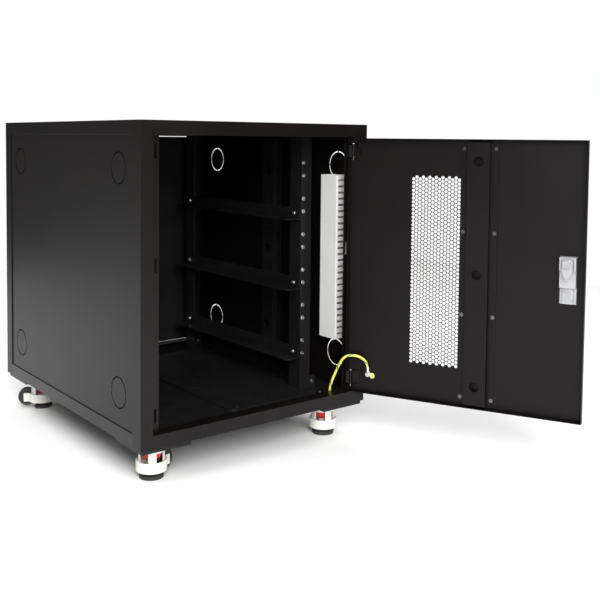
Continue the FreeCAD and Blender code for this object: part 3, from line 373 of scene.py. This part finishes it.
def evaluated(obj, name):
    """The object with its modifiers made real, as a plain mesh."""
    bpy.context.view_layer.update()
    mesh = bpy.data.meshes.new_from_object(obj.evaluated_get(bpy.context.evaluated_depsgraph_get()))
    mesh.name = name
    bpy.data.objects.remove(obj, do_unlink=True)
    return mesh


def softened(node, width, *materials):
    """The CAD piece with its sharp edges rounded over; the rounded strips take the second material."""
    bm = bmesh.new()
    bm.from_mesh(frame["nodes"][node].data)
    bmesh.ops.remove_doubles(bm, verts=bm.verts, dist=JOINED_WITHIN)
    bmesh.ops.dissolve_limit(bm, angle_limit=math.radians(0.5), verts=bm.verts, edges=bm.edges)
    raw = new_object(node, mesh_of(bm, node))
    paint(raw, *materials)
    bevel = raw.modifiers.new("round the edges", "BEVEL")
    bevel.width = width
    bevel.segments = 2
    bevel.limit_method = "ANGLE"
    bevel.angle_limit = math.radians(40)
    bevel.use_clamp_overlap = True
    bevel.material = len(materials) - 1
    mesh = evaluated(raw, node)
    mesh.shade_smooth()
    mesh.set_sharp_from_angle(angle=math.radians(50))
    rounded = new_object(node, mesh)
    steady = rounded.modifiers.new("keep flat faces flat", "WEIGHTED_NORMAL")
    steady.weight = 90
    steady.keep_sharp = True
    piece = new_object(node + "_finished", evaluated(rounded, node))
    return mount_piece(piece, node)


IN_THE_BAY = ("rack_post", "shelf_rail", "base_pan", "rear_panel")
SHEET_NODES = ["front_frame", "rear_frame", "base_pan", "top_cover", "rear_panel"]
SHEET_NODES += [name for name in frame["nodes"] if name.startswith(("rack_post", "shelf_rail"))]
THIN_SHEETS = (
    ("left_panel_stiffener", bay_coat_painted_light),
    ("right_panel_stiffener", bay_coat_painted_light),
    ("upper_hinge_bracket", coat),
    ("lower_hinge_bracket", coat),
    ("upper_hinge_leaf", coat),
    ("lower_hinge_leaf", coat),
    ("door_stiffener", door_coat_painted_shade),
)
SMALL_PARTS = (
    ("lock_housing", SMALL_PART_BEVEL, lock_metal),
    ("lock_spindle", SMALL_PART_BEVEL, lock_metal),
    ("latch_cam", SMALL_PART_BEVEL, lock_metal),
    ("swing_handle", MOULDING_BEVEL, black_plastic),
    ("cabinet_ground_stud", STUD_BEVEL, zinc),
    ("door_ground_stud", STUD_BEVEL, zinc),
)
CASTER_PARTS = (
    ("plate", CASTING_BEVEL, cream),
    ("cage", CASTING_BEVEL, cream),
    ("adjuster", SMALL_PART_BEVEL, red_plastic),
    ("wheel", SMALL_PART_BEVEL, nylon),
    ("foot", MOULDING_BEVEL, rubber),
)
# Pieces in the bay take the inside coat, which is lighter as painted light.
for node_name in SHEET_NODES:
    softened(node_name, SHEET_BEVEL, bay_coat_painted_light if node_name.startswith(IN_THE_BAY) else coat, edge_wear_and_highlight)
for node_name, finish in THIN_SHEETS:
    softened(node_name, THIN_SHEET_BEVEL, finish, edge_wear_and_highlight)
paint(frame["nodes"]["front_door_panel"], door_coat_painted_shade)
for node_name, bevel_width, finish in SMALL_PARTS:
    softened(node_name, bevel_width, finish)
for site in CASTER_SITES:
    for part, bevel_width, finish in CASTER_PARTS:
        softened(f"{site}_caster_{part}", bevel_width, finish)


# ------------------------------------------------------------------ fasteners
def repeat_tree():
    """Geometry Nodes: sets a piece on every point, its axis along 'aim', spun at random, real and painted."""
    tree = bpy.data.node_groups.new("set piece on points", "GeometryNodeTree")
    sockets = (("Geometry", "Geometry"), ("Piece", "Object"), ("Finish", "Material"),
               ("Largest spin", "Float"), ("Spin seed", "Int"))
    for label, kind in sockets:
        tree.interface.new_socket(label, in_out="INPUT", socket_type="NodeSocket" + kind)
    tree.interface.new_socket("Geometry", in_out="OUTPUT", socket_type="NodeSocketGeometry")

    def node(kind, **settings):
        made = tree.nodes.new(kind)
        for name, value in settings.items():
            setattr(made, name, value)
        return made

    given = node("NodeGroupInput")
    result = node("NodeGroupOutput")
    aim = node("GeometryNodeInputNamedAttribute", data_type="FLOAT_VECTOR")
    aim.inputs["Name"].default_value = "aim"
    align = node("FunctionNodeAlignRotationToVector", axis="Z")
    piece = node("GeometryNodeObjectInfo")
    place = node("GeometryNodeInstanceOnPoints")
    spin = node("FunctionNodeRandomValue", data_type="FLOAT")
    turn = node("ShaderNodeCombineXYZ")
    rotate = node("GeometryNodeRotateInstances")
    real = node("GeometryNodeRealizeInstances")
    finish = node("GeometryNodeSetMaterial")
    link = tree.links.new
    link(aim.outputs["Attribute"], align.inputs["Vector"])
    link(given.outputs["Piece"], piece.inputs["Object"])
    link(given.outputs["Geometry"], place.inputs["Points"])
    link(piece.outputs["Geometry"], place.inputs["Instance"])
    link(align.outputs["Rotation"], place.inputs["Rotation"])
    link(given.outputs["Largest spin"], spin.inputs[3])
    link(given.outputs["Spin seed"], spin.inputs["Seed"])
    link(spin.outputs[1], turn.inputs["Z"])
    link(place.outputs["Instances"], rotate.inputs["Instances"])
    link(turn.outputs["Vector"], rotate.inputs["Rotation"])
    link(rotate.outputs["Instances"], real.inputs["Geometry"])
    link(real.outputs["Geometry"], finish.inputs["Geometry"])
    link(given.outputs["Finish"], finish.inputs["Material"])
    link(finish.outputs["Geometry"], result.inputs["Geometry"])
    return tree


SET_ON_POINTS = repeat_tree()
SOCKETS = {item.name: item.identifier for item in SET_ON_POINTS.interface.items_tree
           if item.in_out == "INPUT"}
CROSS_RECESS = (1.0, 0.42, 0.34, 0.42)


def turned(name, profile, sides=16):
    """Solid turned about Z from (radius, height, cross) rings; cross pinches a ring into a driver recess."""
    bm = bmesh.new()
    rings = []
    for radius, height, cross in profile:
        ring = []
        for k in range(sides):
            reach = radius * (CROSS_RECESS[k % len(CROSS_RECESS)] if cross else 1.0)
            angle = 2 * math.pi * k / sides
            ring.append(bm.verts.new((reach * math.cos(angle), reach * math.sin(angle), height)))
        rings.append(ring)
    for lower, upper in zip(rings, rings[1:]):
        for k in range(sides):
            n = (k + 1) % sides
            bm.faces.new((lower[k], lower[n], upper[n], upper[k]))
    for ring, height in ((list(reversed(rings[0])), profile[0][1]), (rings[-1], profile[-1][1])):
        hub = bm.verts.new((0, 0, height))
        for k in range(sides):
            bm.faces.new((ring[k], ring[(k + 1) % sides], hub))
    for face in bm.faces:
        face.smooth = True
    return mesh_of(bm, name, TURNED_CREASE)


def tubular(name, outer, inner, sides=16):
    """Hollow turned piece: the outer profile from top to bottom, then back up through the bore."""
    bm = bmesh.new()
    loop = [*outer, *reversed(inner)]
    rings = []
    for radius, height in loop:
        turns = [2 * math.pi * k / sides for k in range(sides)]
        rings.append([bm.verts.new((radius * math.cos(a), radius * math.sin(a), height)) for a in turns])
    for i, ring in enumerate(rings):
        below = rings[(i + 1) % len(rings)]
        for k in range(sides):
            n = (k + 1) % sides
            bm.faces.new((ring[n], ring[k], below[k], below[n])).smooth = True
    bmesh.ops.recalc_face_normals(bm, faces=bm.faces)
    return mesh_of(bm, name, TURNED_CREASE)


def pan_head_screw(head, head_height, shank, length):
    """Head radius and height, shank radius and whole length; the top of the head is at the origin."""
    h = head_height
    return turned("screw", [
        (shank * 0.7, -length, False), (shank, -length + shank * 0.4, False), (shank, -h, False),
        (head, -h, False), (head, -0.45 * h, False), (head * 0.90, -0.15 * h, False),
        (head * 0.66, 0.0, False), (head * 0.56, 0.0, True), (head * 0.40, -0.55 * h, True)])


def rivet(head, head_height, shank, length):
    h = head_height
    return turned("rivet", [
        (shank, -length, False), (shank, -h, False), (head, -h, False), (head * 0.96, -0.62 * h, False),
        (head * 0.74, -0.22 * h, False), (head * 0.42, -0.02 * h, False), (head * 0.34, -0.02 * h, False),
        (head * 0.32, -0.30 * h, False), (head * 0.20, -0.24 * h, False)])


def push_rivet(head, head_height, shank, length):
    h = head_height
    return turned("push rivet", [
        (shank, -length, False), (shank, -h, False), (head, -h, False), (head * 0.97, -0.5 * h, False),
        (head * 0.86, -0.2 * h, False), (head * 0.55, -0.12 * h, False), (head * 0.50, -0.35 * h, False),
        (head * 0.42, -0.35 * h, False), (head * 0.36, 0.0, False)])


def rivet_nut(flange, flange_height, body, length):
    bore = 0.625 * body
    h = flange_height
    return tubular("rivet nut",
                   [(bore + 0.0004, 0.0), (flange * 0.93, 0.0), (flange, -0.3 * h), (flange, -h), (body, -h),
                    (body, -length)],
                   [(bore, -0.0004), (bore * 1.06, -0.3 * length), (bore, -0.6 * length), (bore, -length)])


def loose_parts(node):
    """The separate solids of a CAD node, as lists of points, in the order of the node's own points."""
    bm = bmesh.new()
    bm.from_mesh(frame["nodes"][node].data)
    bmesh.ops.remove_doubles(bm, verts=bm.verts, dist=JOINED_WITHIN)
    waiting = set(bm.verts)
    parts = []
    for start in bm.verts:
        if start not in waiting:
            continue
        waiting.remove(start)
        stack = [start]
        part = []
        while stack:
            vert = stack.pop()
            part.append(vert.co.copy())
            for edge in vert.link_edges:
                other = edge.other_vert(vert)
                if other in waiting:
                    waiting.remove(other)
                    stack.append(other)
        parts.append(part)
    bm.free()
    return parts


def measured(points, axes):
    """Axis, head-end centre and sizes of one turned solid: head radius, head height, shank radius, length."""
    best = None
    for axis in axes:
        middle = Vector([(min(p[i] for p in points) + max(p[i] for p in points)) / 2 for i in range(3)])
        along = [(p - middle).dot(axis) for p in points]
        reach = [((p - middle) - axis * t).length for p, t in zip(points, along)]
        side = axis.orthogonal().normalized()
        other = axis.cross(side)
        spread = [max(p.dot(d) for p in points) - min(p.dot(d) for p in points) for d in (side, other)]
        fault = abs(spread[0] - spread[1])
        if best is None or fault < best[0]:
            best = (fault, axis, middle, along, reach)
    _, axis, middle, along, reach = best
    low, high = min(along), max(along)
    radius_low = max(r for r, t in zip(reach, along) if t < low + 0.0002)
    radius_high = max(r for r, t in zip(reach, along) if t > high - 0.0002)
    if radius_low > radius_high:
        axis = -axis
        along = [-t for t in along]
        low, high = -high, -low
    head = max(reach)
    shank = min(radius_low, radius_high)
    head_bottom = min(t for r, t in zip(reach, along) if r > 0.5 * (head + shank))
    sizes = (head, high - head_bottom, shank, high - low)
    return axis, middle + axis * high, tuple(round(value, 5) for value in sizes)


def set_on_places(node, pattern_mesh, places, finish, seed):
    """One fastener on every (head centre, axis) place, as a real mesh."""
    pattern = new_object(node + "_pattern", pattern_mesh)
    mesh = bpy.data.meshes.new(node + "_points")
    mesh.from_pydata([tip for tip, _ in places], [], [])
    aim = mesh.attributes.new("aim", "FLOAT_VECTOR", "POINT")
    for spot, (_, axis) in zip(aim.data, places):
        spot.vector = axis
    holder = new_object(node + "_points", mesh)
    modifier = holder.modifiers.new("set on points", "NODES")
    modifier.node_group = SET_ON_POINTS
    modifier[SOCKETS["Piece"]] = pattern
    modifier[SOCKETS["Finish"]] = finish
    modifier[SOCKETS["Largest spin"]] = math.tau
    modifier[SOCKETS["Spin seed"]] = seed
    made = evaluated(holder, node + "_set")
    bpy.data.objects.remove(pattern, do_unlink=True)
    return made


def fasteners(node, shape, axes, finish, seed):
    """Detailed fasteners in the places of a CAD node's solids, made real as one piece."""
    groups = {}
    for points in loose_parts(node):
        axis, tip, sizes = measured(points, axes)
        groups.setdefault(sizes, []).append((tip, axis))
    bm = bmesh.new()
    for number, (sizes, places) in enumerate(sorted(groups.items())):
        places.sort(key=lambda place: tuple(round(value, 5) for value in place[0]))
        made = set_on_places(node, shape(*sizes), places, finish, seed + number)
        bm.from_mesh(made)
        bpy.data.meshes.remove(made)
    piece = new_object(node + "_finished", mesh_of(bm, node, TURNED_CREASE))
    paint(piece, finish)
    mount_piece(piece, node)


fasteners("frame_screws", pan_head_screw, [ACROSS, DEEP, UPRIGHT], zinc, 11)
fasteners("rail_thread_inserts", rivet_nut, [DEEP], zinc, 23)
fasteners("duct_rivets", push_rivet, [ACROSS], red_plastic, 31)
fasteners("door_rivets", rivet, [DOOR_INWARD], rivet_metal, 47)
fasteners("hinge_screws", pan_head_screw, [DOOR_INWARD], coat, 59)


# ------------------------------------------------------------------ earth wire
def route_of(points):
    """Points read from the NURBS spline of a route."""
    curve = bpy.data.curves.new("wire_route", "CURVE")
    curve.dimensions = "3D"
    curve.resolution_u = 10
    spline = curve.splines.new("NURBS")
    spline.points.add(len(points) - 1)
    for knot, spot in zip(spline.points, points):
        knot.co = (*spot, 1.0)
    spline.order_u = 3
    spline.use_endpoint_u = True
    holder = new_object("wire_route", curve)
    mesh = evaluated(holder, "wire_route")
    path = [vertex.co.copy() for vertex in mesh.vertices]
    bpy.data.meshes.remove(mesh)
    return path


def tube(name, path, radius, sides):
    """Round tube swept along a path, with a UV map that runs round (u) and along (v, in metres)."""
    bm = bmesh.new()
    layer = bm.loops.layers.uv.new("UVMap")
    rings = []
    reach = [0.0]
    side = UPRIGHT.cross(path[1] - path[0]).normalized()
    for i, spot in enumerate(path):
        ahead = path[min(i + 1, len(path) - 1)] - path[max(i - 1, 0)]
        ahead.normalize()
        side = (side - ahead * side.dot(ahead)).normalized()
        up = ahead.cross(side)
        turns = [2 * math.pi * k / sides for k in range(sides)]
        rings.append([bm.verts.new(spot + radius * (math.cos(a) * side + math.sin(a) * up)) for a in turns])
        if i:
            reach.append(reach[-1] + (path[i] - path[i - 1]).length)
    for i in range(len(path) - 1):
        for k in range(sides):
            n = (k + 1) % sides
            face = bm.faces.new((rings[i][k], rings[i][n], rings[i + 1][n], rings[i + 1][k]))
            face.smooth = True
            corners = ((k, i), (k + 1, i), (k + 1, i + 1), (k, i + 1))
            for loop, (around, row) in zip(face.loops, corners):
                loop[layer].uv = (around / sides, reach[row])
    bm.faces.new(list(reversed(rings[0])))
    bm.faces.new(rings[-1])
    return new_object(name, mesh_of(bm, name)), reach[-1]


LUG_CENTRE = Vector((0.232, -0.292, 0.0922))
LUG_HEADING = math.radians(-98)


def cabinet_lug_point(reach):
    """A point on the barrel axis of the ring terminal on the cabinet's stud."""
    return LUG_CENTRE + reach * Vector((math.cos(LUG_HEADING), math.sin(LUG_HEADING), 0))


wire_points = [
    cabinet_lug_point(0.010),
    cabinet_lug_point(0.0275),
    Vector((0.2280, -0.3325, 0.1050)),
    Vector((0.2290, -0.3350, 0.1240)),
    Vector((0.2335, -0.3380, 0.1410)),
    Vector((0.2380, -0.3440, 0.1580)),
    Vector((0.2400, -0.3520, 0.1755)),
    Vector((0.2390, -0.3640, 0.1910)),
    open_door_point(0.004, 0.0860, 0.0240),
    open_door_point(0.019, 0.0885, 0.0180),
    open_door_point(0.034, 0.0845, 0.0110),
    open_door_point(0.046, 0.0755, 0.0070),
    open_door_point(0.052, 0.0635, 0.0054),
    open_door_point(0.052, 0.0530, 0.0054),
]
wire_path = route_of(wire_points)
wire, wire_length = tube("earth_wire", wire_path, WIRE_DIAMETER / 2, WIRE_SIDES)
paint(wire, insulation)
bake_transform(wire)
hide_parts("ground_wire")


# ------------------------------------------------------------------ stage, light and camera
def stage_floor(reach, tone):
    """A pale square on the ground."""
    bm = bmesh.new()
    corners = [(-reach, -reach), (reach, -reach), (reach, reach), (-reach, reach)]
    bm.faces.new([bm.verts.new((x, y, 0)) for x, y in corners])
    floor = new_object("studio_floor", mesh_of(bm, "studio floor"))
    paint(floor, plain_stage("pale floor", tone))


def soft_lamp(name, place, aim, width, height, watts):
    """A rectangular softbox at a place, turned to a point."""
    light = bpy.data.lights.new(name, "AREA")
    light.shape = "RECTANGLE"
    light.size = width
    light.size_y = height
    light.energy = watts
    lamp = new_object(name, light)
    lamp.location = place
    lamp.rotation_euler = (Vector(aim) - Vector(place)).to_track_quat("-Z", "Y").to_euler()


def studio_world(backdrop, fill):
    """White all round for the backdrop, a dimmer even fill for the light itself."""
    world = bpy.data.worlds.new("studio")
    bpy.context.scene.world = world
    world.use_nodes = True
    tree = world.node_tree
    tree.nodes.clear()
    seen = tree.nodes.new("ShaderNodeBackground")
    lighting = tree.nodes.new("ShaderNodeBackground")
    rays = tree.nodes.new("ShaderNodeLightPath")
    choice = tree.nodes.new("ShaderNodeMixShader")
    output = tree.nodes.new("ShaderNodeOutputWorld")
    seen.inputs["Color"].default_value = colour(1.0, 1.0, 1.0)
    seen.inputs["Strength"].default_value = backdrop
    lighting.inputs["Color"].default_value = colour(1.0, 0.98, 0.97)
    lighting.inputs["Strength"].default_value = fill
    tree.links.new(rays.outputs["Is Camera Ray"], choice.inputs[0])
    tree.links.new(lighting.outputs[0], choice.inputs[1])
    tree.links.new(seen.outputs[0], choice.inputs[2])
    tree.links.new(choice.outputs[0], output.inputs[0])


def camera_axes(heading, pitch, roll):
    """Right, up and backward axes of a camera that looks along +Y turned by heading towards +X."""
    flat = math.cos(pitch)
    ahead = Vector((math.sin(heading) * flat, math.cos(heading) * flat, math.sin(pitch)))
    level = Vector((math.cos(heading), -math.sin(heading), 0))
    rise = level.cross(ahead)
    right = math.cos(roll) * level + math.sin(roll) * rise
    up = math.cos(roll) * rise - math.sin(roll) * level
    return Matrix((right, up, -ahead)).transposed()


def set_camera(place, heading, pitch, roll, focal_length, shift):
    lens = bpy.data.cameras.new("camera")
    lens.sensor_width = 36.0
    lens.lens = focal_length
    lens.shift_x, lens.shift_y = shift
    lens.clip_end = 50.0
    view = new_object("camera", lens)
    view.matrix_world = Matrix.Translation(place) @ camera_axes(heading, pitch, roll).to_4x4()
    bpy.context.scene.camera = view


stage_floor(reach=2.7, tone=0.93)
studio_world(backdrop=1.0, fill=0.10)
soft_lamp("overhead softbox", (0.0, 0.2, 3.6), (0.0, 0.2, 0.0), 7.5, 7.5, 330)
soft_lamp("key light", (-1.5, -3.1, 2.0), (0.1, -0.2, 0.35), 1.8, 1.5, 135)
soft_lamp("bay light", (-0.5, -3.4, 1.0), (0.0, 0.0, 0.4), 1.4, 1.2, 28)
soft_lamp("rear side light", (-3.2, 3.4, 0.1), (-0.3, 0.0, 0.35), 2.4, 1.2, 5)
set_camera(place=(-1.1055, -1.9028, 0.7143), heading=0.66246, pitch=-0.05276, roll=0.0097,
           focal_length=52.05, shift=(0.0072, -0.1917))
bpy.context.scene.view_settings.view_transform = "Standard"

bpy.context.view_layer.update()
